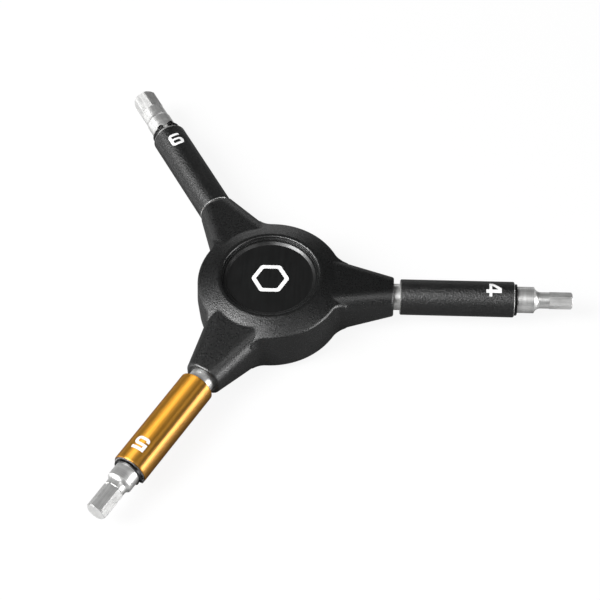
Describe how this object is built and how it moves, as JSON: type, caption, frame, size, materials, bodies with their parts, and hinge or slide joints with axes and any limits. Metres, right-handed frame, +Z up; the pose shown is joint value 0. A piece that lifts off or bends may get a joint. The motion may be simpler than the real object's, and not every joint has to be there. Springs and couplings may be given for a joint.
{
  "type": "three-way hex wrench",
  "caption": "Y-shaped hex wrench: a moulded hub with steel hex drivers at 120 degrees, each with a free-spinning anodised sleeve held between the hub's nose and a circlip.",
  "frame": {"origin": "on the hub's axis, in the plane of the flat land on its underside", "axes": "+Z up along the hub's axis, +X along the arm with the 4 mm hexagon, the 6 mm arm at +120 degrees and the 5 mm arm at -120 degrees about +Z"},
  "size_m": [0.123, 0.1417, 0.0168],
  "materials": {
    "hub_plastic": "fine texture, black glass-filled nylon",
    "badge_plastic": "smooth satin black",
    "driver_steel": "turned and milled, bright satin",
    "clip_steel": "glossy black oxide on spring steel",
    "liner_plastic": "natural acetal",
    "sleeve_black": "fine bead blast, black anodised",
    "sleeve_gold": "fine bead blast, gold anodised"
  },
  "bodies": {
    "hub": {"hub_body": "hub_plastic", "top_badge": "badge_plastic", "bottom_badge": "badge_plastic", "driver_4": "driver_steel", "circlip_4": "clip_steel", "driver_5": "driver_steel", "circlip_5": "clip_steel", "driver_6": "driver_steel", "circlip_6": "clip_steel"},
    "liner_4_body": {"liner_4": "liner_plastic"},
    "sleeve_4_body": {"sleeve_4": "sleeve_black"},
    "liner_5_body": {"liner_5": "liner_plastic"},
    "sleeve_5_body": {"sleeve_5": "sleeve_gold"},
    "liner_6_body": {"liner_6": "liner_plastic"},
    "sleeve_6_body": {"sleeve_6": "sleeve_black"}
  },
  "joints": [
    {"name": "sleeve_4_float", "type": "slide", "parent": "hub", "child": "liner_4_body", "axis": [1, 0, 0], "range_m": [-0.00162, 0.00007]},
    {"name": "sleeve_4_spin", "type": "hinge", "parent": "liner_4_body", "child": "sleeve_4_body", "pos_m": [0, 0, 0.0084], "axis": [1, 0, 0], "continuous": true},
    {"name": "sleeve_5_float", "type": "slide", "parent": "hub", "child": "liner_5_body", "axis": [-0.5, -0.866, 0], "range_m": [-0.00237, 0.00012]},
    {"name": "sleeve_5_spin", "type": "hinge", "parent": "liner_5_body", "child": "sleeve_5_body", "pos_m": [0, 0, 0.0084], "axis": [-0.5, -0.866, 0], "continuous": true},
    {"name": "sleeve_6_float", "type": "slide", "parent": "hub", "child": "liner_6_body", "axis": [-0.5, 0.866, 0], "range_m": [-0.00037, 0.00112]},
    {"name": "sleeve_6_spin", "type": "hinge", "parent": "liner_6_body", "child": "sleeve_6_body", "pos_m": [0, 0, 0.0084], "axis": [-0.5, 0.866, 0], "continuous": true}
  ]
}
